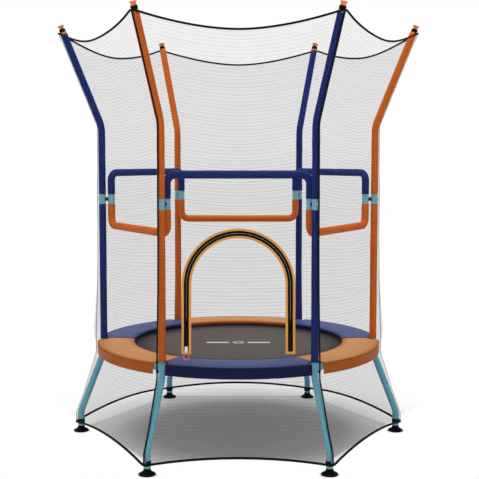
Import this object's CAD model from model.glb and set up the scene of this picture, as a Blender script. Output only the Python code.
import math

import bmesh
import bpy
from mathutils import Matrix, Vector, noise
from mathutils.bvhtree import BVHTree


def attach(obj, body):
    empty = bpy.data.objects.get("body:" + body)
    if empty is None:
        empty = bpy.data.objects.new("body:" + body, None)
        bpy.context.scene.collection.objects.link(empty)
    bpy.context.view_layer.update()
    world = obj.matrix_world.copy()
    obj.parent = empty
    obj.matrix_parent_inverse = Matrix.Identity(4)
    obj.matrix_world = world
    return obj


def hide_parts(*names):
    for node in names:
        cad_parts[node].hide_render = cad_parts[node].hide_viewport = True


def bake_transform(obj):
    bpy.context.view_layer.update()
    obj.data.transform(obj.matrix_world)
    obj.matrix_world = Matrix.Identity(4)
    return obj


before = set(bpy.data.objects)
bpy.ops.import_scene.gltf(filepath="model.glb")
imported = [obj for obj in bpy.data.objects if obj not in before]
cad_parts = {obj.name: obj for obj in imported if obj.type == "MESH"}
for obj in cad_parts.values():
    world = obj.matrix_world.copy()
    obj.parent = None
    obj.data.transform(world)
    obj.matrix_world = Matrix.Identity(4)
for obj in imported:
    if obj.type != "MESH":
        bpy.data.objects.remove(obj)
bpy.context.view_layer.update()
bpy.ops.object.select_all(action="DESELECT")

# ---------------------------------------------------------------- the room it stands in
# A camera on a stand 4.8 m in front of the trampoline, tipped down a little. A white floor runs
# off into white walls, under one broad soft lamp overhead and a weaker one behind the camera.

picture_px = 479
focal_px = 967.27
camera_back, camera_high = 4.8027, 1.3698
camera_tilt = 0.0829
shift_px = 1.1
bpy.ops.object.camera_add(location=(0, -camera_back, camera_high), rotation=(math.pi / 2 - camera_tilt, 0, 0))
camera = bpy.context.object
camera.data.sensor_fit = "HORIZONTAL"
camera.data.sensor_width = 36
camera.data.lens = camera.data.sensor_width * focal_px / picture_px
camera.data.shift_x = shift_px / picture_px
camera.data.clip_end = 200
bpy.context.scene.camera = camera
bpy.context.scene.view_settings.view_transform = "Standard"


class Signal:
    """A number on its way through a finish, written with ordinary arithmetic."""

    def __init__(self, finish, socket):
        self.finish = finish
        self.socket = socket

    def math(self, operation, *values):
        return self.finish.node("ShaderNodeMath", {"operation": operation}, dict(enumerate(values)))

    def __add__(self, other):
        return self.math("ADD", self, other)

    def __radd__(self, other):
        return self.math("ADD", other, self)

    def __sub__(self, other):
        return self.math("SUBTRACT", self, other)

    def __rsub__(self, other):
        return self.math("SUBTRACT", other, self)

    def __mul__(self, other):
        return self.math("MULTIPLY", self, other)

    def __rmul__(self, other):
        return self.math("MULTIPLY", other, self)

    def __truediv__(self, other):
        return self.math("DIVIDE", self, other)

    def __pow__(self, other):
        return self.math("POWER", self, other)

    def __mod__(self, other):
        return self.math("FLOORED_MODULO", self, other)

    def __lt__(self, other):
        return self.math("LESS_THAN", self, other)

    def __abs__(self):
        return self.math("ABSOLUTE", self)


class Finish:
    """The nodes of one material or of the world."""

    def __init__(self, owner):
        self.owner = bpy.data.materials.new(owner) if isinstance(owner, str) else owner
        self.owner.use_nodes = True
        self.tree = self.owner.node_tree
        self.tree.nodes.clear()

    def node(self, kind, settings=None, sockets=None, out=0):
        made = self.tree.nodes.new(kind)
        for name, value in (settings or {}).items():
            setattr(made, name, value)
        for place, value in (sockets or {}).items():
            if isinstance(value, Signal):
                self.tree.links.new(value.socket, made.inputs[place])
            else:
                made.inputs[place].default_value = value
        return Signal(self, made.outputs[out]) if made.outputs else None

    def place(self, kind="Object"):
        return self.node("ShaderNodeTexCoord", out=kind)

    def axes(self, vector):
        split = self.node("ShaderNodeSeparateXYZ", sockets={0: vector})
        return [Signal(self, s) for s in split.socket.node.outputs]

    def vector(self, x, y, z):
        return self.node("ShaderNodeCombineXYZ", sockets={0: x, 1: y, 2: z})

    def noise(self, vector, scale, detail=2, rough=0.5):
        sockets = {"Vector": vector, "Scale": scale, "Detail": detail, "Roughness": rough}
        return self.node("ShaderNodeTexNoise", sockets=sockets)

    def mix(self, mask, first, second):
        return self.node("ShaderNodeMix", {"data_type": "RGBA"}, {0: mask, 6: first, 7: second}, out=2)

    def step(self, value, low, high):
        """0 below low, 1 above high and a smooth change between them."""
        settings = {"interpolation_type": "SMOOTHSTEP"}
        return self.node("ShaderNodeMapRange", settings, {0: value, 1: low, 2: high, 3: 0, 4: 1})

    def bump(self, height, distance, strength=1.0):
        sockets = {"Height": height, "Distance": distance, "Strength": strength}
        return self.node("ShaderNodeBump", sockets=sockets)

    def surface(self, **sockets):
        sockets = {name.replace("_", " "): value for name, value in sockets.items()}
        shader = self.node("ShaderNodeBsdfPrincipled", sockets=sockets)
        self.node("ShaderNodeOutputMaterial", sockets={0: shader})
        return self.owner


def paint(red, green, blue):
    """A colour from a paint card, 0 to 255, as the linear one that a shader takes."""
    def linear(c):
        c /= 255
        return c / 12.92 if c <= 0.04045 else ((c + 0.055) / 1.055) ** 2.4
    return (linear(red), linear(green), linear(blue), 1)


def seen_white(finish):
    """1 where the eye, a reflection or glass looks straight at the room, and 0 for its light."""
    eye, mirrored, through = [finish.node("ShaderNodeLightPath", out=f"Is {ray} Ray")
        for ray in ("Camera", "Glossy", "Transmission")]
    return eye.math("MAXIMUM", eye.math("MAXIMUM", eye, mirrored), through)


room_light = 0.34
room = Finish(bpy.data.worlds.new("room"))
bpy.context.scene.world = room.owner
strength = seen_white(room) * (1 - room_light) + room_light
air = room.node("ShaderNodeBackground", sockets={"Color": (1, 1, 1, 1), "Strength": strength})
room.node("ShaderNodeOutputWorld", sockets={0: air})

bpy.ops.object.light_add(type="SUN", rotation=(0.1, -0.06, 0))
overhead = bpy.context.object
overhead.data.energy = 2.15
overhead.data.angle = 1.0
bpy.ops.object.light_add(type="AREA", location=(-0.8, -5.5, 2.6), rotation=(1.35, 0, -0.14))
front_lamp = bpy.context.object
front_lamp.data.shape = "DISK"
front_lamp.data.size = 2.2
front_lamp.data.energy = 14

bpy.ops.mesh.primitive_plane_add(size=240, location=(0, 0, 0))
floor = bpy.context.object
floor.name = "floor"
white_floor = Finish("white_floor")
floor_grey = (0.9, 0.9, 0.9, 1)
floor_lift = 0.1
bounced = white_floor.node("ShaderNodeBsdfDiffuse", sockets={"Color": floor_grey})
x, y, z = white_floor.axes(white_floor.place())
# The floor keeps its shadow under the net and close round each foot. In front it is plain white
# up to where the camera sees the net's lower hem, and far off it is plain white all round.
net_edge, far_off, foot_edge = (0.595, 0.625), (0.85, 1.3), (0.037, 0.050)
side_x, side_y = 0.866, 0.5
hem_back, hem_bow = 0.14, 0.43
beside = side_x * abs(x) - side_y * y
before = hem_back - y - hem_bow * x * x
clean = white_floor.step(beside.math("MAXIMUM", beside, before), *net_edge)
far = white_floor.step((x * x + y * y) ** 0.5, *far_off)
clean = clean.math("MAXIMUM", clean, far)
foot_r = 0.795
for leg in range(6):
    east = x - foot_r * math.cos(math.radians(60 * leg))
    north = y - foot_r * math.sin(math.radians(60 * leg))
    clean = clean * white_floor.step((east * east + north * north) ** 0.5, *foot_edge)
seen = seen_white(white_floor)
shine = white_floor.node("ShaderNodeEmission", sockets={"Color": (1, 1, 1, 1), "Strength": seen * floor_lift})
shaded = white_floor.node("ShaderNodeAddShader", sockets={0: bounced, 1: shine})
plain = white_floor.node("ShaderNodeEmission", sockets={"Color": (1, 1, 1, 1), "Strength": 1})
both = white_floor.node("ShaderNodeMixShader", sockets={0: clean * seen, 1: shaded, 2: plain})
white_floor.node("ShaderNodeOutputMaterial", sockets={0: both})
floor.data.materials.append(white_floor.owner)

# ---------------------------------------------------------------- ring, legs and feet
# Six curved steel tubes of 28 mm join through sockets on six bent legs of 32 mm, all powder
# coated in light blue. Each leg stands in a black rubber foot, and a bolt with two round black
# caps pins each joint.


def dress(nodes, material):
    """Gives carried-over nodes of the frame their finish."""
    for name in nodes:
        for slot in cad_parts[name].material_slots:
            slot.material = material


leg_paint = Finish("leg_paint")
where = leg_paint.place()
tone = leg_paint.noise(where, 7, 3)
height = leg_paint.axes(where)[2]
scuffs = leg_paint.step(leg_paint.noise(where, 90, 4, 0.7), 0.62, 0.72)
scuffs = scuffs * (1 - leg_paint.step(height, 0.05, 0.22))
body = leg_paint.mix(tone, paint(96, 184, 208), paint(118, 202, 224))
leg_paint.surface(
    Base_Color=leg_paint.mix(scuffs * 0.5, body, paint(205, 214, 216)),
    Roughness=0.3 + 0.12 * tone + 0.2 * scuffs,
    Coat_Weight=0.25,
    Coat_Roughness=0.2,
    Normal=leg_paint.bump(leg_paint.noise(where, 420, 2), 0.0003, 0.35),
)
dress([f"frame_tube_{n}" for n in range(1, 7)] + [f"leg_{n}" for n in range(1, 7)], leg_paint.owner)

foot_rubber = Finish("foot_rubber")
where = foot_rubber.place()
tone = foot_rubber.noise(where, 35, 4)
dust = 1 - foot_rubber.step(foot_rubber.axes(where)[2], 0.001, 0.012)
foot_rubber.surface(
    Base_Color=foot_rubber.mix(dust * 0.12 * tone + 0.03 * tone, paint(5, 5, 6), paint(92, 90, 88)),
    Roughness=0.62 + 0.2 * tone,
    Specular_IOR_Level=0.05,
    Normal=foot_rubber.bump(foot_rubber.noise(where, 900, 3), 0.0004, 0.5),
)
dress(["feet"], foot_rubber.owner)


def moulded(name, light, dark, roughness=0.35, grain=0.25, shine=0.5):
    """Injection-moulded plastic: a little uneven in tone and gloss, with a fine spark-eroded grain."""
    finish = Finish(name)
    where = finish.place()
    tone = finish.noise(where, 60, 3)
    return finish.surface(
        Base_Color=finish.mix(tone, dark, light),
        Roughness=roughness - 0.06 + 0.14 * tone,
        Specular_IOR_Level=shine,
        Normal=finish.bump(finish.noise(where, 1400, 2), 0.0002, grain),
    )


black_plastic = moulded("black_plastic", paint(15, 15, 16), paint(7, 7, 8), shine=0.2)
dress(["frame_bolts", "band_spacers"], black_plastic)

# ---------------------------------------------------------------- springs and rings
# Thirty-six close-wound springs of galvanised wire pull the mat. Each hooks into a hole in the
# ring tube and into a triangular ring that hangs in a webbing tab of the mat.


def galvanised(name, light, dark, roughness):
    """Zinc on steel, with its cloudy spangle and fine drawn lines."""
    finish = Finish(name)
    where = finish.place()
    cloud = finish.noise(where, 120, 4, 0.6)
    drawn = finish.noise(where, 900, 2)
    return finish.surface(
        Base_Color=finish.mix(cloud, dark, light),
        Metallic=1.0,
        Roughness=roughness - 0.08 + 0.2 * cloud,
        Normal=finish.bump(drawn, 0.0002, 0.3),
    )


zinc = galvanised("zinc", paint(206, 208, 212), paint(150, 153, 158), 0.34)
dress(["mat_rings", "band_bolts", "bar_tubes"] + [f"pole_{n}" for n in range(1, 7)], zinc)


def wire(name, points, thick, material, closed=False, sides=2, smooth=False):
    """A round wire or cord through points, made a mesh."""
    bpy.ops.object.select_all(action="DESELECT")
    bpy.ops.curve.primitive_nurbs_path_add(location=(0, 0, 0))
    line = bpy.context.object
    curve = line.data
    curve.splines.clear()
    spline = curve.splines.new("NURBS" if smooth else "POLY")
    spline.points.add(len(points) - 1)
    for point, at in zip(spline.points, points):
        point.co = (*at, 1)
    spline.use_cyclic_u = closed
    if smooth:
        spline.order_u = 3
        spline.use_endpoint_u = not closed
        spline.resolution_u = 3
    curve.dimensions = "3D"
    curve.bevel_depth = thick / 2
    curve.bevel_resolution = sides
    curve.use_fill_caps = not closed
    bpy.ops.object.convert(target="MESH")
    piece = bpy.context.object
    piece.name = name
    bpy.ops.object.shade_smooth()
    piece.data.materials.append(material)
    return piece


def pick(*pieces):
    """Selects these pieces and no others, and makes the first one active."""
    bpy.ops.object.select_all(action="DESELECT")
    for piece in pieces:
        piece.select_set(True)
    bpy.context.view_layer.objects.active = pieces[0]


def joined(name, pieces):
    """Several meshes as one piece."""
    pick(*pieces)
    bpy.ops.object.join()
    pieces[0].name = name
    pieces[0].data.name = name
    return pieces[0]


def turned_copy(model, name, degrees):
    """The same piece again, turned round the trampoline's axis, with a mesh of its own."""
    piece = model.copy()
    piece.data = model.data.copy()
    piece.name = piece.data.name = name
    piece.data.transform(Matrix.Rotation(math.radians(degrees), 4, "Z"))
    bpy.context.collection.objects.link(piece)
    return piece


spring_level = 0.450
coil_in, coil_out = 0.578, 0.641
spring_wire = 0.0022
coil_turns = 21
coil_pitch = (coil_out - coil_in - spring_wire) / coil_turns
coil_r = 0.006 - spring_wire / 2

bpy.ops.mesh.primitive_circle_add(
    vertices=6, radius=spring_wire / 2, location=(0, 0, coil_r), rotation=(math.pi / 2, 0, 0)
)
coil = bpy.context.object
bpy.ops.object.transform_apply()
winding = coil.modifiers.new("winding", "SCREW")
winding.axis = "X"
winding.screw_offset = coil_pitch
winding.iterations = coil_turns
winding.steps = winding.render_steps = 11
bpy.ops.object.modifier_apply(modifier="winding")
bpy.ops.object.mode_set(mode="EDIT")
bpy.ops.mesh.select_all(action="SELECT")
bpy.ops.mesh.normals_make_consistent(inside=False)
bpy.ops.transform.translate(value=(coil_in + spring_wire / 2, 0, spring_level))
bpy.ops.object.mode_set(mode="OBJECT")
bpy.ops.object.shade_smooth()
coil.data.materials.append(zinc)
over = 0.0038
ring_bar_r, hole_r = 0.551, 0.6665
inner_hook = wire("inner_hook", [
    (coil_in + 0.002, 0.0005, spring_level + coil_r), (coil_in - 0.004, 0, spring_level + over),
    (ring_bar_r + 0.005, 0, spring_level + over), (ring_bar_r + 0.0015, 0, spring_level + over - 0.0008),
    (ring_bar_r, 0, spring_level + over - 0.0025), (ring_bar_r, 0, spring_level - over),
], spring_wire, zinc)
outer_hook = wire("outer_hook", [
    (coil_out - 0.002, 0.0005, spring_level + coil_r), (coil_out + 0.002, 0, spring_level + 0.003),
    (coil_out + 0.006, 0, spring_level), (hole_r - 0.0035, 0, spring_level),
    (hole_r - 0.0008, 0, spring_level - 0.001), (hole_r, 0, spring_level - 0.005),
], spring_wire, zinc)
spring_model = joined("spring_model", [coil, inner_hook, outer_hook])
spring_turns = [5 + 10 * n for n in range(36)]
springs = [turned_copy(spring_model, f"spring_{n + 1:02d}", turn) for n, turn in enumerate(spring_turns)]
bpy.data.objects.remove(spring_model)
for spring, turn in zip(springs, spring_turns):
    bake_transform(spring)
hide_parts("springs")

# ---------------------------------------------------------------- mat
# A round of dark woven polypropylene, 1.06 m across, stretched by the springs. Its edge is turned
# in under a sewn band of black webbing, from which 36 folded tabs hold the rings.

mat_r = 0.530
mat_top = 0.452
mat_thick = 0.002
mat_weave = Finish("mat_weave")
where = mat_weave.place()
x, y, z = mat_weave.axes(where)
tape_wide = 0.0025
over_x = abs((x / tape_wide) % 2 - 1)
over_y = abs((y / tape_wide) % 2 - 1)
weave = over_x * (1 - over_y) + over_y * (1 - over_x)
streaks = mat_weave.noise(mat_weave.vector(x * 2, y * 60, 0), 1.5, 3, 0.6)
cross_streaks = mat_weave.noise(mat_weave.vector(x * 60, y * 2, 0), 1.5, 3, 0.6)
wear = mat_weave.noise(where, 3.5, 3)
thread = mat_weave.mix(weave * 0.5 + streaks * 0.45, paint(56, 50, 49), paint(112, 105, 99))
thread = mat_weave.mix(cross_streaks * 0.35 + wear * 0.2, thread, paint(88, 80, 76))
radius = (x * x + y * y) ** 0.5
dark_from, dark_to = 0.37, 0.512
thread = mat_weave.mix(mat_weave.step(radius, dark_from, dark_to) * 0.94, thread, paint(14, 12, 11))
# The printed mark: a plain ring between two plain bars.
ring_r, ring_half = 0.022, 0.006
bar_out, bar_long, bar_wide = 0.103, 0.056, 0.016
ring = abs(radius - ring_r) < ring_half
bars = (abs(abs(x) - bar_out) < bar_long) * (abs(y) < bar_wide)
mark = ring.math("MAXIMUM", ring, bars) * (0.86 + 0.14 * weave)
mat_weave.surface(
    Base_Color=mat_weave.mix(mark, thread, paint(226, 222, 216)),
    Roughness=0.62 + 0.16 * wear,
    Specular_IOR_Level=0.25,
    Normal=mat_weave.bump(weave + streaks * 0.4, 0.0006, 0.7),
)


def shape(piece, move):
    """Moves each point of a piece by hand, as a function of where it is."""
    for vertex in piece.data.vertices:
        vertex.co = move(vertex.co)
    piece.data.update()


def wall(piece, thick, offset=-1.0, soft=None):
    """Gives a skin its thickness, and softens its rims."""
    pick(piece)
    solid = piece.modifiers.new("thickness", "SOLIDIFY")
    solid.thickness = thick
    solid.offset = offset
    bpy.ops.object.modifier_apply(modifier="thickness")
    if soft:
        rim = piece.modifiers.new("rim", "BEVEL")
        rim.width = soft
        rim.segments = 2
        rim.limit_method = "ANGLE"
        rim.angle_limit = math.radians(50)
        bpy.ops.object.modifier_apply(modifier="rim")
    bpy.ops.object.shade_smooth_by_angle(angle=math.radians(40))


bpy.ops.mesh.primitive_circle_add(vertices=144, radius=mat_r, fill_type="NGON", location=(0, 0, mat_top))
mat = bpy.context.object
mat.name = "jump_mat"
bpy.ops.object.transform_apply(location=True)
bpy.ops.object.mode_set(mode="EDIT")
bpy.ops.mesh.select_all(action="SELECT")
for inset in (0.006, 0.03, 0.06, 0.08, 0.09, 0.09, 0.09):
    bpy.ops.mesh.inset(thickness=inset)
bpy.ops.mesh.poke()
bpy.ops.object.mode_set(mode="OBJECT")
wall(mat, mat_thick)
mat.data.materials.append(mat_weave.owner)
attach(mat, "mat_body")
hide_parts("mat")


def webbing(name, light, dark, rib=0.0016, stitch=None, stitch_colour=None, width=0.02, shine=0.15):
    """Woven tape, ribbed across, in its own lengthwise u and crosswise v in metres."""
    finish = Finish(name)
    u, v, w = finish.axes(finish.place("UV"))
    ribs = abs((u / rib) % 2 - 1)
    twill = abs(((u + v) / (rib * 0.8)) % 2 - 1)
    tone = finish.noise(finish.vector(u * 40, v * 300, 0), 1, 3)
    cloth = finish.mix(ribs * 0.35 + twill * 0.25 + tone * 0.4, dark, light)
    lift = ribs * 0.6 + twill * 0.4
    if stitch:
        sewn = (abs(abs(v - width / 2) - stitch) < 0.0006) * ((u / 0.0035) % 1 < 0.72)
        cloth = finish.mix(sewn, cloth, stitch_colour)
        lift = lift + sewn * 1.5
    return finish.surface(
        Base_Color=cloth,
        Roughness=0.7 + 0.12 * tone,
        Specular_IOR_Level=shine,
        Normal=finish.bump(lift, 0.0004, 0.6),
    )


def laid_grid(name, columns, rows, place, material, size=(1.0, 1.0), close=False):
    """A sheet that is laid out square by square, then put where place(u, v) says.
    Its own u and v run in metres, over the cloth's flat size."""
    bpy.ops.object.select_all(action="DESELECT")
    bpy.ops.mesh.primitive_grid_add(x_subdivisions=columns, y_subdivisions=rows, size=2, location=(0, 0, 0))
    piece = bpy.context.object
    piece.name = piece.data.name = name
    for entry in piece.data.uv_layers[0].data:
        entry.uv = (entry.uv[0] * size[0], entry.uv[1] * size[1])
    shape(piece, lambda co: place((co[0] + 1) / 2, (co[1] + 1) / 2))
    bpy.ops.object.mode_set(mode="EDIT")
    bpy.ops.mesh.select_all(action="SELECT")
    if close:
        bpy.ops.mesh.remove_doubles(threshold=0.00001)
    bpy.ops.object.mode_set(mode="OBJECT")
    bpy.ops.object.shade_smooth()
    piece.data.materials.append(material)
    return piece


black_webbing = webbing("black_webbing", paint(20, 20, 21), paint(6, 6, 7), stitch=0.009,
    stitch_colour=paint(48, 47, 48), width=0.026)
hem_in, hem_out = 0.505, 0.531
hem_level, hem_ripple = 0.4536, 0.0003


def hem_place(u, v):
    turn = 2 * math.pi * u
    r = hem_in + (hem_out - hem_in) * v
    return (r * math.cos(turn), r * math.sin(turn), hem_level + hem_ripple * math.sin(36 * turn) * v)


hem = laid_grid("mat_hem_band", 216, 3, hem_place, black_webbing, (3.25, 0.026), close=True)
wall(hem, 0.0012)
tab_wide = 0.0225
fold = [(0.519, 0.4534), (0.5368, 0.4534), (0.5392, 0.4528), (0.5404, 0.4500), (0.5392, 0.4472),
    (0.5368, 0.4466), (0.522, 0.4478)]


def tab_place(u, v):
    at = v * (len(fold) - 1)
    i = min(int(at), len(fold) - 2)
    part = at - i
    r = fold[i][0] + (fold[i + 1][0] - fold[i][0]) * part
    z = fold[i][1] + (fold[i + 1][1] - fold[i][1]) * part
    return (r, tab_wide * (u - 0.5), z)


tab = laid_grid("tab", 2, len(fold) - 1, tab_place, black_webbing, (0.024, 0.05))
wall(tab, 0.0011, offset=0)
tabs = joined("mat_tabs", [turned_copy(tab, f"tab_{n}", turn) for n, turn in enumerate(spring_turns)])
bpy.data.objects.remove(tab)
for piece in (hem, tabs):
    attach(piece, "mat_body")
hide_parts("mat_hem")

# ---------------------------------------------------------------- pads
# Six curved pads hide the springs, three orange and three navy. Each is a foam board sewn into
# coated cloth, with a welt along its outer edge and a skirt that hangs over the ring tube.

pad_in, pad_out = 0.518, 0.700
pad_mid = (pad_in + pad_out) / 2
pad_edge = 0.4745
skirt_low = 0.4235
pole_r = 0.675
bolt_side = [1, 1, -1, -1, -1, 1]
notch_wide, notch_plain = 0.0335, 0.027
notch_round, notch_in, notch_long = 0.0205, 0.6655, 0.08
notch_level, notch_high = 0.46, 0.12
pad_gap = 0.15


def pad_crown(r, rise):
    return pad_edge + rise * (1 - ((r - pad_mid) / (pad_out - pad_mid)) ** 2)


def coated_cloth(name, light, dark, worn):
    """Coated polyester: fine grain over a soft crumple, a little paler where it is sat on."""
    finish = Finish(name)
    where = finish.place()
    tone = finish.noise(where, 9, 4, 0.55)
    crumple = finish.noise(where, 26, 3, 0.6)
    grain = finish.noise(where, 1100, 2)
    x, y, z = finish.axes(where)
    top = finish.step(z, 0.4715, 0.4755)
    cloth = finish.mix(tone, dark, light)
    under = 1 - finish.step(z, 0.4566, 0.4580)
    lining = under * (1 - finish.step((x * x + y * y) ** 0.5, 0.680, 0.686))
    cloth = finish.mix(top * (0.55 + 0.35 * crumple), cloth, worn)
    return finish.surface(
        Base_Color=finish.mix(lining, cloth, paint(10, 10, 11)),
        Roughness=0.40 + 0.16 * tone,
        Specular_IOR_Level=0.12,
        Normal=finish.bump(crumple * 6 + grain, 0.0005, 0.55),
    )


orange_cover = coated_cloth("orange_cover", paint(206, 108, 32), paint(184, 92, 22), paint(238, 174, 104))
blue_cover = coated_cloth("blue_cover", paint(18, 28, 80), paint(12, 20, 66), paint(84, 98, 163))


def sewn_pad(name, wide_start, wide_end, material):
    """One pad between the poles at 0 and 60 degrees, swollen a little as its foam fills it."""
    slack, crown_rise = 0.0022, 0.0035
    crown_start, crown_step = 0.698, 0.0223
    seam_low = skirt_low - 0.0025
    top = [(r, pad_crown(r, crown_rise) - slack) for r in [crown_start - crown_step * i for i in range(9)]]
    section = [(0.6945, seam_low), (0.6995, seam_low), (0.6995, pad_edge - 0.004), *top,
        (0.5185, 0.472), (0.518, 0.465), (0.5195, 0.4552), (0.530, 0.4549), (0.540, 0.4625), (0.654, 0.4625),
        (0.664, 0.4692), (0.6868, 0.4692), (0.6928, 0.456)]
    bpy.ops.object.select_all(action="DESELECT")
    bpy.ops.mesh.primitive_circle_add(vertices=len(section), radius=0.1, location=(0, 0, 0))
    pad = bpy.context.object
    pad.name = pad.data.name = name
    for vertex, (r, z) in zip(pad.data.vertices, section):
        vertex.co = (r, 0, z)
    bpy.ops.object.mode_set(mode="EDIT")
    bpy.ops.mesh.select_all(action="SELECT")
    bpy.ops.mesh.spin(steps=60, angle=-math.radians(60 - 2 * pad_gap), center=(0, 0, 0), axis=(0, 0, 1))
    bpy.ops.mesh.select_all(action="SELECT")
    bpy.ops.mesh.fill_holes(sides=0)
    bpy.ops.mesh.select_all(action="SELECT")
    bpy.ops.mesh.normals_make_consistent(inside=False)
    bpy.ops.object.mode_set(mode="OBJECT")
    pad.data.transform(Matrix.Rotation(math.radians(pad_gap), 4, "Z"))
    for degrees, half in ((0, wide_start), (60, wide_end)):
        bpy.ops.mesh.primitive_cylinder_add(vertices=32, radius=notch_round, depth=notch_high,
            location=(pole_r, 0, notch_level))
        cutters = [bpy.context.object]
        bpy.ops.mesh.primitive_cube_add(size=1, location=(notch_in + notch_long / 2, 0, notch_level))
        bpy.context.object.dimensions = (notch_long, 2 * half, notch_high)
        cutters.append(bpy.context.object)
        for cutter in cutters:
            pick(cutter)
            bpy.ops.object.transform_apply()
            cutter.data.transform(Matrix.Rotation(math.radians(degrees), 4, "Z"))
            bpy.context.view_layer.objects.active = pad
            cut = pad.modifiers.new("notch", "BOOLEAN")
            cut.object = cutter
            cut.solver = "EXACT"
            bpy.ops.object.modifier_apply(modifier="notch")
            bpy.data.objects.remove(cutter)
    pick(pad)
    cloth_net = pad.modifiers.new("cloth net", "REMESH")
    cloth_net.mode = "VOXEL"
    cloth_net.voxel_size = 0.0048
    bpy.ops.object.modifier_apply(modifier="cloth net")
    swell(pad, lambda co: co.z > 0.4655 and pad_in + 0.002 < math.hypot(co.x, co.y) < pad_out - 0.006,
        limit=0.0055)
    finer = pad.modifiers.new("finer", "SUBSURF")
    finer.levels = finer.render_levels = 1
    bpy.ops.object.modifier_apply(modifier="finer")
    bpy.ops.object.shade_smooth()
    pad.data.materials.clear()
    pad.data.materials.append(material)
    return pad


def swell(pad, free, limit):
    """Blows a cover up from inside. Its sewn edges stay, and no point moves further than limit."""
    stitched = pad.vertex_groups.new(name="stitched")
    stitched.add([v.index for v in pad.data.vertices if not free(v.co)], 1, "REPLACE")
    before = [v.co.copy() for v in pad.data.vertices]
    cloth = pad.modifiers.new("stuffing", "CLOTH")
    cloth.settings.vertex_group_mass = "stitched"
    cloth.settings.use_pressure = True
    cloth.settings.uniform_pressure_force = 4
    cloth.settings.effector_weights.gravity = 0
    cloth.settings.quality = 4
    last_frame = 20
    cloth.point_cache.frame_end = last_frame
    for frame_number in range(1, last_frame + 1):
        bpy.context.scene.frame_set(frame_number)
    bpy.ops.object.modifier_apply(modifier="stuffing")
    bpy.context.scene.frame_set(1)
    for vertex, start in zip(pad.data.vertices, before):
        moved = vertex.co - start
        if moved.length > limit:
            vertex.co = start + moved * (limit / moved.length)
    pad.vertex_groups.clear()


pad_models = {}
pads = []
for bay in range(6):
    start = notch_wide if bolt_side[bay] == 1 else notch_plain
    end = notch_wide if bolt_side[(bay + 1) % 6] == -1 else notch_plain
    if (start, end) not in pad_models:
        pad_models[start, end] = sewn_pad(f"pad_model_{len(pad_models)}", start, end, blue_cover)
    pad = turned_copy(pad_models[start, end], f"soft_pad_{bay + 1}", 60 * bay)
    pad.data.materials[0] = orange_cover if bay % 2 else blue_cover
    pads.append(pad)
    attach(pad, "stand")
    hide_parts(f"pad_{bay + 1}")
    "orange_cover" if bay % 2 else "blue_cover"
for model in pad_models.values():
    bpy.data.objects.remove(model)

orange_welt = webbing("orange_welt", paint(190, 96, 30), paint(150, 72, 20))
blue_welt = webbing("blue_welt", paint(30, 38, 82), paint(18, 24, 58))
welt_thick, welt_short = 0.0032, 3.1
welt_r, welt_level = 0.7015, 0.4722
welt_steps = 40
for bay, pad in enumerate(pads):
    tree = BVHTree.FromPolygons([v.co for v in pad.data.vertices], [p.vertices for p in pad.data.polygons])
    line = []
    for i in range(welt_steps + 1):
        a = math.radians(60 * bay + welt_short + (60 - 2 * welt_short) * i / welt_steps)
        found = tree.find_nearest(Vector((welt_r * math.cos(a), welt_r * math.sin(a), welt_level)))
        line.append(found[0] + found[1] * 0.0004)
    welt = wire(f"pad_welt_{bay + 1}", line, welt_thick, orange_welt if bay % 2 else blue_welt)
    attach(welt, "stand")
    "orange_cover" if bay % 2 else "blue_cover"

# ---------------------------------------------------------------- poles and their sleeves
# Each pole is a steel tube that leans out at the top. Foam tube with a smooth skin covers it in
# two lengths, orange on the odd poles and navy on the even ones. An orange cap closes it.

sleeve_r = 0.0355 / 2
sleeve_wall = 0.0034
band_z, band_h = 1.1725, 0.048
bend_z, lean, bend_r = 1.530, math.radians(21.8), 0.150
lean_run = 0.481
bend_cut = bend_r * math.tan(lean / 2)
lean_dir = Vector((math.sin(lean), 0, math.cos(lean)))


def sleeve_skin(name, light, dark):
    """The smooth skin of extruded foam: soft clouds of tone, faint pulls and a fine grain."""
    finish = Finish(name)
    where = finish.place()
    x, y, z = finish.axes(where)
    tone = finish.noise(where, 14, 3)
    pulls = finish.noise(finish.vector(x * 30, y * 30, z * 260), 1, 3, 0.6)
    grain = finish.noise(where, 1300, 2)
    return finish.surface(
        Base_Color=finish.mix(tone * 0.8 + pulls * 0.2, dark, light),
        Roughness=0.50 + 0.14 * tone,
        Specular_IOR_Level=0.1,
        Normal=finish.bump(pulls * 3 + grain, 0.0004, 0.5),
    )


orange_foam = sleeve_skin("orange_foam", paint(240, 122, 42), paint(220, 104, 30))
blue_foam = sleeve_skin("blue_foam", paint(36, 56, 132), paint(26, 43, 112))


def drawn_tube(name, start, radius, steps):
    """A ring drawn out into a tube: each step runs it straight on or turns it about a centre."""
    bpy.ops.object.select_all(action="DESELECT")
    bpy.ops.mesh.primitive_circle_add(vertices=32, radius=radius, location=start)
    tube = bpy.context.object
    tube.name = tube.data.name = name
    bpy.ops.object.transform_apply(location=True)
    bpy.ops.object.mode_set(mode="EDIT")
    bpy.ops.mesh.select_all(action="SELECT")
    for kind, *values in steps:
        if kind == "run":
            move, cuts = values
            for cut in range(cuts):
                bpy.ops.mesh.extrude_region_move(TRANSFORM_OT_translate={"value": Vector(move) / cuts})
        else:
            centre, angle, cuts = values
            bpy.ops.mesh.spin(steps=cuts, angle=-angle, center=centre, axis=(0, 1, 0))
    bpy.ops.mesh.select_all(action="SELECT")
    bpy.ops.mesh.normals_make_consistent(inside=False)
    bpy.ops.object.mode_set(mode="OBJECT")
    return tube


def foam_sleeve(tube, wall_thick, uneven):
    """Foam skin, a little uneven as foam is, with soft cut ends."""
    for vertex in tube.data.vertices:
        lump = noise.noise(vertex.co * 22) * uneven
        vertex.co += vertex.normal * (lump - uneven / 2)
    wall(tube, wall_thick, soft=0.0011)
    tube.data.materials.clear()
    return tube


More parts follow.
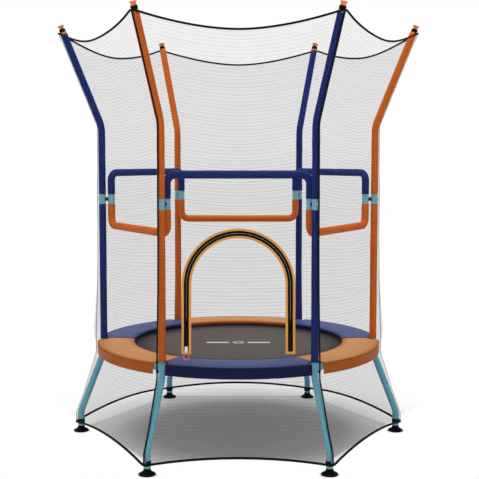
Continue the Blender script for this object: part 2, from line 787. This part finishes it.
foam_uneven = 0.0008
hairline = 0.0003
low_start = 0.4753
low_end = band_z - band_h / 2 - hairline
high_start = band_z + band_h / 2 + hairline
low_model = foam_sleeve(drawn_tube("low_model", (pole_r, 0, low_start), sleeve_r,
    [("run", (0, 0, low_end - low_start), 22)]), sleeve_wall, foam_uneven)
high_model = foam_sleeve(drawn_tube("high_model", (pole_r, 0, high_start), sleeve_r, [
    ("run", (0, 0, bend_z - bend_cut - high_start), 12),
    ("turn", (pole_r + bend_r, 0, bend_z - bend_cut), lean, 8),
    ("run", lean_dir * (lean_run - bend_cut), 14),
]), sleeve_wall, foam_uneven)
for pole in range(6):
    colour = "blue" if pole % 2 else "orange"
    for model, part in ((low_model, "low"), (high_model, "high")):
        sleeve = turned_copy(model, f"sleeve_{part}_{pole + 1}", 60 * pole)
        sleeve.data.materials.append(blue_foam if pole % 2 else orange_foam)
        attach(sleeve, "stand")
        if part == "low":
            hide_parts(f"pole_foam_{pole + 1}")
for model in (low_model, high_model):
    bpy.data.objects.remove(model)

cap_plastic = moulded("cap_plastic", paint(248, 146, 58), paint(236, 120, 38), 0.28, 0.15)
dress(["pole_caps"], cap_plastic)

# ---------------------------------------------------------------- bands and handle bars
# A light blue moulded band grips each pole and another grips the ends of the bars beside it. A
# bolt goes through both, with a black spacer between them. The bars are steel tube in foam,
# arched up in navy or slung down in orange.

band_plastic = moulded("band_plastic", paint(146, 208, 226), paint(126, 192, 214), 0.34, 0.2)
dress(["tube_bands"], band_plastic)

bar_r = 0.630
bar_half = bar_r / 2
bar_face = bar_r * math.cos(math.radians(30))
bar_sleeve_r, bar_sleeve_wall = 0.0185, 0.0055
bar_bend = 0.040
top_bar, low_bar = 1.3025, 1.0425


def bar_foam(name, start, level, up):
    """The foam of one bar, from band to band. It is arched up where up is 1, and slung down for -1."""
    bent = level - up * bar_bend
    return foam_sleeve(drawn_tube(name, (-bar_half, bar_face, start), bar_sleeve_r, [
        ("run", (0, 0, bent - start), 2),
        ("turn", (-bar_half + bar_bend, bar_face, bent), up * math.pi / 2, 9),
        ("run", (2 * bar_half - 2 * bar_bend, 0, 0), 16),
        ("turn", (bar_half - bar_bend, bar_face, bent), up * math.pi / 2, 9),
        ("run", (0, 0, start - bent), 2),
    ]), bar_sleeve_wall, foam_uneven)


arched = bar_foam("arched", high_start, top_bar, 1)
slung = bar_foam("slung", low_end, low_bar, -1)
bar_kinds = [(arched, "top_bar_foam", blue_foam, "blue"), (slung, "low_bar_foam", orange_foam, "orange")]
for bay in range(6):
    model, node, foam, colour = bar_kinds[bay % 2]
    bar = turned_copy(model, f"bar_sleeve_{bay + 1}", 60 * (bay - 1))
    bar.data.materials.append(foam)
    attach(bar, "stand")
    if bay < 2:
        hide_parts(node)
bpy.data.objects.remove(arched)
bpy.data.objects.remove(slung)

# ---------------------------------------------------------------- net
# Six bays of fine black mesh, sewn together along the poles. An elastic cord in the upper hem
# loops round the caps, one in the lower hem is strapped to the legs, and dark grey tape covers
# the seams. The front bay has a door.


def between(z, line):
    """A value at height z on a line of straight stretches."""
    for (z0, a), (z1, b) in zip(line, line[1:]):
        if z <= z1:
            return a + (b - a) * max(0, (z - z0) / (z1 - z0))
    return line[-1][1]


cord_z = 1.98141
cord_sag = 0.078
low_cord_z, low_cord_rise = 0.049, 0.032
net_off = 0.023748
# How far the net stands off a pole's axis, and how far out the middle of a bay hangs, by height.
stand_off = [(0.049, 0.0236), (0.110, 0.021), (0.200, 0.022), (0.340, 0.033), (0.4235, 0.038), (0.475, 0.039),
    (0.620, 0.033), (0.800, 0.027), (1.0, net_off), (1.23, net_off), (1.32, 0.0205), (1.90, 0.0205),
    (1.955, net_off), (2.1, net_off)]
mid_line = [(0.084, 0.7121), (0.250, 0.709), (0.4235, 0.706), (0.475, 0.706), (0.530, 0.694), (1.080, 0.630),
    (1.332, 0.628), (1.530, 0.641), (1.715, 0.697), (1.90341, 0.76468)]
fullness = [(0.475, 2), (0.530, 4), (1.080, 4), (1.467, 2.5), (1.865, 2)]
folds = [-1, -0.8, -0.55, -0.28, 0, 0.28, 0.55, 0.8, 1]
cos_half = math.cos(math.radians(30))


def axis_r(z):
    """How far out the pole or leg is at height z."""
    if z > bend_z:
        return pole_r + (z - bend_z) * math.tan(lean)
    return between(z, [(0.101, foot_r), (0.409, pole_r)])


def fold_n(s, z):
    chord = axis_r(z) * cos_half + between(z, stand_off)
    return chord + (between(z, mid_line) - chord) * (1 - abs(s) ** between(z, fullness))


def net_n(s, z):
    """How far the net hangs from the trampoline's axis, square to the bay."""
    for near, far in zip(folds, folds[1:]):
        if s <= far:
            part = (s - near) / (far - near)
            return fold_n(near, z) * (1 - part) + fold_n(far, z) * part
    return fold_n(1, z)


def in_bay(bay, t, n, z):
    turn = math.radians(60 * bay + 30)
    return (t * math.sin(turn) + n * math.cos(turn), n * math.sin(turn) - t * math.cos(turn), z)


def net_point(bay, s, wrap, z, out=0.0):
    """A point of the net at place s along a bay, or wrap degrees round the pole at its end."""
    r = axis_r(z)
    if wrap > 0:
        w = between(z, stand_off) + out
        a = math.radians(wrap)
        return in_bay(bay, s * r / 2 + math.copysign(w * math.sin(a), s), r * cos_half + w * math.cos(a), z)
    return in_bay(bay, s * r / 2, net_n(s, z) + out, z)


def across(u):
    """Place along the bay and wrap round the pole for a share u of the cloth's width."""
    t = 2 * u - 1
    flat = 0.94
    if abs(t) <= flat:
        return t / flat, 0
    return math.copysign(1, t), 30 * (abs(t) - flat) / (1 - flat)


low_seam, high_seam = 0.0059, 0.0049
low_curve, high_curve = 2, 1.8


def low_edge(s):
    return low_cord_z + low_cord_rise * (1 - abs(s) ** low_curve) + low_seam


def high_edge(s):
    return cord_z - cord_sag * (1 - abs(s) ** high_curve) - high_seam


def net_place(bay):
    def place(u, v):
        s, wrap = across(u)
        low = low_edge(s)
        return net_point(bay, s, wrap, low + (high_edge(s) - low) * v)
    return place


net_mesh = Finish("net_mesh")
u, v, w = net_mesh.axes(net_mesh.place("UV"))
mesh_pitch, slant = 0.0045, 0.6
first = abs(((u + v * slant) / mesh_pitch) % 2 - 1)
second = abs(((u - v * slant) / mesh_pitch) % 2 - 1)
knots = net_mesh.step(first.math("MAXIMUM", first, second), 0.62, 0.96)
pull = net_mesh.noise(net_mesh.vector(u * 3, v * 45, 0), 1, 3, 0.6)
row_pitch = 0.0079
rows = net_mesh.step(abs(((v + 0.006 * pull) / row_pitch) % 2 - 1), 0.35, 1.0)
cover = 0.078 + 0.03 * (1 - net_mesh.step(v, 1.1, 1.5)) + 0.07 * knots
net_mesh.surface(
    Base_Color=net_mesh.mix(pull, paint(26, 26, 28), paint(44, 44, 47)),
    Roughness=0.8,
    Specular_IOR_Level=0.1,
    Alpha=cover + 0.14 * rows * (0.15 + 0.85 * pull) + 0.04 * pull,
)


front = 4
panel_w, panel_h = 0.90, 1.93
net_panels = []
for bay in range(6):
    fine = (124, 260) if bay == front else (40, 96)
    panel = laid_grid(f"net_bay_{bay + 1}", *fine, net_place(bay), net_mesh.owner, (panel_w, panel_h))
    net_panels.append(panel)

# ---------------------------------------------------------------- door
# An arched flap of the same mesh closes the front bay's doorway and hinges on its lower edge. A
# zip with a white slider runs up one side and down the other, between two orange tapes.

door_r = 0.225
door_low, door_spring = 0.530, 0.825
near_cut, side_cut, sill_cut = 0.02, 0.008, 0.004


def arch_gap(t, z):
    """How far a point of the front bay, which faces -Y, is outside the door's arch."""
    if z < door_spring:
        return max(abs(t) - door_r, door_low - z)
    return math.hypot(t, z - door_spring) - door_r


def before_net(t, z, out):
    """A point in front of the door bay's net, to the left or right by t."""
    return in_bay(front, -t, net_n(t / (axis_r(z) / 2), z) + out, z)


def onto_arch(t, z):
    """The point of the door's outline that a ragged edge is trimmed to."""
    if z >= door_spring:
        reach = math.hypot(t, z - door_spring)
        return t * door_r / reach, door_spring + (z - door_spring) * door_r / reach
    if abs(abs(t) - door_r) < side_cut and z > door_low + sill_cut:
        return math.copysign(door_r, t), z
    return max(-door_r, min(door_r, t)), door_low


whole = net_panels[front]
flap = turned_copy(whole, "door_mesh", 0)
for piece, inside in ((whole, False), (flap, True)):
    mesh = bmesh.new()
    mesh.from_mesh(piece.data)
    middles = [(face, face.calc_center_median()) for face in mesh.faces]
    doomed = [face for face, middle in middles if (arch_gap(middle.x, middle.z) < 0) != inside]
    bmesh.ops.delete(mesh, geom=doomed, context="FACES")
    for vertex in mesh.verts:
        t, z = vertex.co.x, vertex.co.z
        in_reach = door_low - near_cut < z < door_spring + door_r + near_cut
        if vertex.is_boundary and abs(t) < door_r + near_cut and in_reach:
            vertex.co = before_net(*onto_arch(t, z), 0.0)
    mesh.to_mesh(piece.data)
    mesh.free()

for bay, panel in enumerate(net_panels):
    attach(panel, "stand")
    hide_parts(f"net_panel_{bay + 1}")
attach(flap, "door")
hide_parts("door_flap")

straight = door_spring - door_low
arch_len = 2 * straight + math.pi * door_r


def along_arch(length, off):
    """The point of the arch at a length from its left foot, set off by off to its outside."""
    if length <= straight:
        return -door_r - off, door_low + length
    if length >= straight + math.pi * door_r:
        return door_r + off, door_low + arch_len - length
    a = math.pi - (length - straight) / door_r
    return (door_r + off) * math.cos(a), door_spring + (door_r + off) * math.sin(a)


tape_out = 0.0015
flap_short = 0.0006


def arch_strip(name, inside, outside, material, body, node, start=0.0):
    """A strip of tape along the arch, from inside to outside of the zip's middle."""
    length = arch_len - 2 * start

    def place(u, v):
        return before_net(*along_arch(start + length * u, inside + (outside - inside) * v), tape_out)

    strip = laid_grid(name, 150, 3, place, material, (length, outside - inside))
    wall(strip, 0.0011, offset=0)
    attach(strip, body)
    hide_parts(node)


orange_tape = webbing("orange_tape", paint(238, 166, 76), paint(218, 140, 54), rib=0.0014, stitch=0.0034,
    stitch_colour=paint(240, 190, 118), width=0.0098)
zip_cloth = webbing("zip_cloth", paint(12, 11, 10), paint(4, 3, 3), rib=0.0012, shine=0.08)
zip_in, zip_out = 0.0004, 0.0111
edge_in, edge_out = 0.0112, 0.021
arch_strip("door_edge_tape", edge_in, edge_out, orange_tape, "stand", "door_binding")
arch_strip("flap_edge_tape", -edge_out, -edge_in, orange_tape, "door", "flap_binding",
    flap_short)
arch_strip("zip_tape_fixed", zip_in, zip_out, zip_cloth, "stand", "zip_fixed")
arch_strip("zip_tape_flap", -zip_out, -zip_in, zip_cloth, "door", "zip_flap", flap_short)

white_plastic = moulded("white_plastic", paint(244, 244, 242), paint(226, 226, 224), 0.3, 0.15)
pink_plastic = moulded("pink_plastic", paint(222, 92, 118), paint(204, 72, 98), 0.3, 0.15)
tooth_plastic = moulded("tooth_plastic", paint(5, 5, 5), paint(2, 2, 2), 0.6, 0.1, 0.0)
dress(["zip_slider"], white_plastic)

patch_start, patch_long = 0.0008, 0.0105
patch_half, patch_out = 0.0212, 0.0021


def end_patch(name, right, inside, outside, body):
    """Half of the orange tape that is folded over the zip's two ends, at one foot of the arch."""
    def place(u, v):
        length = patch_start + patch_long * u
        at = along_arch(arch_len - length if right else length, inside + (outside - inside) * v)
        return before_net(*at, tape_out + patch_out)

    patch = laid_grid(name, 3, 5, place, orange_tape, (patch_long, 0.021))
    wall(patch, 0.0012, offset=0)
    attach(patch, body)


for right in (False, True):
    side = "right" if right else "left"
    end_patch(f"end_patch_fixed_{side}", right, zip_in, patch_half, "stand")
    end_patch(f"end_patch_flap_{side}", right, -patch_half, -zip_in, "door")

tongue_out, loop_out = 0.0122, 0.0108
tongue_half = [(0.0044, 0.5555), (0.0048, 0.5500), (0.0040, 0.5440), (0.0034, 0.5400), (0.0038, 0.5350)]
loop_wide, loop_tall, loop_level = 0.0120, 0.0135, 0.5205


def tongue_place(u, v):
    half, z = tongue_half[round(4 * v)]
    return before_net(-door_r + half * (2 * u - 1), z, tongue_out)


def loop_place(turn):
    """The loop hangs like a drop, a little wider below than above."""
    t = -door_r + loop_wide * math.sin(turn) * (1 - 0.2 * math.cos(turn))
    return before_net(t, loop_level + loop_tall * math.cos(turn), loop_out)


tongue = laid_grid("pull_tongue", 4, 4, tongue_place, white_plastic)
wall(tongue, 0.0018, offset=0, soft=0.0005)
pull_loop = wire("pull_loop", [loop_place(2 * math.pi * n / 40) for n in range(40)], 0.0056, pink_plastic,
    closed=True, sides=3)
slider_pull = joined("slider_pull", [tongue, pull_loop])
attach(slider_pull, "pull")
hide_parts("zip_pull")


def zip_teeth(name, side, body, phase):
    """A row of moulded teeth on the edge of one half of the zip."""
    pitch, end_gap = 0.0036, 0.002
    half_long, from_middle, wide = 0.0013, 0.0003, 0.0026
    tooth_low, tooth_high = tape_out + 0.0004, tape_out + 0.0014
    points, faces = [], []
    count = int((arch_len - 2 * end_gap) / pitch)
    corners = [(-1, 0), (1, 0), (0.7, 1), (-0.7, 1)]
    for n in range(count):
        middle = end_gap + (n + phase) * pitch
        first = len(points)
        for out in (tooth_low, tooth_high):
            for lengthwise, crosswise in corners:
                at = along_arch(middle + lengthwise * half_long, side * (from_middle + wide * crosswise))
                points.append(before_net(*at, out))
        faces += [[first + i for i in face] for face in
            ((0, 1, 2, 3), (7, 6, 5, 4), (0, 4, 5, 1), (1, 5, 6, 2), (2, 6, 7, 3), (3, 7, 4, 0))]
    mesh = bpy.data.meshes.new(name)
    mesh.from_pydata(points, [], faces)
    teeth = bpy.data.objects.new(name, mesh)
    bpy.context.collection.objects.link(teeth)
    pick(teeth)
    bpy.ops.object.mode_set(mode="EDIT")
    bpy.ops.mesh.select_all(action="SELECT")
    bpy.ops.mesh.normals_make_consistent(inside=False)
    bpy.ops.object.mode_set(mode="OBJECT")
    mesh.materials.append(tooth_plastic)
    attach(teeth, body)


zip_teeth("zip_teeth_fixed", 1, "stand", 0.0)
zip_teeth("zip_teeth_flap", -1, "door", 0.5)

# ---------------------------------------------------------------- hems, seams and ties
# Black elastic cord runs in both hems. Tape covers each seam, a webbing strap with a snap holds
# the lower hem to each leg, and elastic loops wind round the caps.

grey_tape = webbing("grey_tape", paint(26, 26, 27), paint(10, 10, 11), shine=0.1)
cord_black = webbing("cord_black", paint(12, 12, 13), paint(4, 4, 5), shine=0.1)
seam_half = 0.0038


def seam_place(pole):
    def place(u, v):
        z = low_edge(1) + (high_edge(1) - low_edge(1)) * v
        side = 2 * u - 1
        reach = math.degrees(seam_half / between(z, stand_off))
        wrap = 30 - min(30, reach) * abs(side)
        bay, s = (pole, 1) if side > 0 else ((pole - 1) % 6, -1)
        return net_point(bay, s, wrap, z, tape_out)
    return place


seams = []
for pole in range(6):
    seam = laid_grid(f"seam_{pole}", 4, 90, seam_place(pole), grey_tape, (2 * seam_half, 1.92))
    wall(seam, 0.0010, offset=0)
    seams.append(seam)
seam_tape = joined("seam_tape", seams)
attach(seam_tape, "stand")
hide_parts("seam_tapes")


def loop_line(level, rise, curve):
    """The hem's own line, from bay to bay all the way round."""
    line, per_bay = [], 30
    for bay in range(6):
        for i in range(per_bay):
            s, wrap = across((i + 0.5) / per_bay)
            line.append(net_point(bay, s, wrap, level + rise * (1 - abs(s) ** curve)))
    return sorted(line, key=lambda p: math.atan2(p[1], p[0]))


top_thick, low_thick = 0.0095, 0.0114
top_cord = wire("top_hem_cord", loop_line(cord_z, -cord_sag, high_curve), top_thick, cord_black, closed=True)
low_cord = wire("low_hem_cord", loop_line(low_cord_z, low_cord_rise, low_curve), low_thick, cord_black,
    closed=True)
for cord, node in ((top_cord, "top_hem"), (low_cord, "bottom_hem")):
    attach(cord, "stand")
    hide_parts(node)

leg_r, strap_gap = 0.016, 0.0013
strap_low, strap_high = 0.040, 0.063


def strap_place(u, v):
    turn = 2 * math.pi * u
    r = leg_r + strap_gap
    return (foot_r + r * math.cos(turn), r * math.sin(turn), strap_low + (strap_high - strap_low) * v)


strap = laid_grid("strap", 36, 2, strap_place, black_webbing, (0.11, 0.018), close=True)
wall(strap, 0.0018, offset=0)
snap_r, snap_out, snap_level = 0.0052, 0.0022, 0.0580
bpy.ops.mesh.primitive_uv_sphere_add(segments=20, ring_count=10, radius=snap_r,
    location=(foot_r + leg_r + snap_out, 0, snap_level))
snap = bpy.context.object
snap.scale = (0.35, 1, 1)
bpy.ops.object.transform_apply()
bpy.ops.object.shade_smooth()
snap.data.materials.append(white_plastic)
loops = []
loop_start, loop_pitch = 0.01405, 0.0057
tie_loop_r, tie_cord_r = 0.01305, 0.00265
cap_end = Vector((pole_r + lean_run * math.sin(lean), 0, bend_z + lean_run * math.cos(lean)))
for turn in range(3):
    at = cap_end + lean_dir * (loop_start + loop_pitch * turn)
    bpy.ops.mesh.primitive_torus_add(major_radius=tie_loop_r, minor_radius=tie_cord_r, major_segments=28,
        minor_segments=8, location=at, rotation=(0, lean, 0))
    loop = bpy.context.object
    bpy.ops.object.transform_apply()
    bpy.ops.object.shade_smooth()
    loop.data.materials.append(cord_black)
    loops.append(loop)
ties = [turned_copy(m, f"tie_{i}_{k}", 60 * k) for k in range(6) for i, m in enumerate([strap, snap, *loops])]
net_tie = joined("net_tie_set", ties)
for model in (strap, snap, *loops):
    bpy.data.objects.remove(model)
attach(net_tie, "stand")
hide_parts("net_ties")
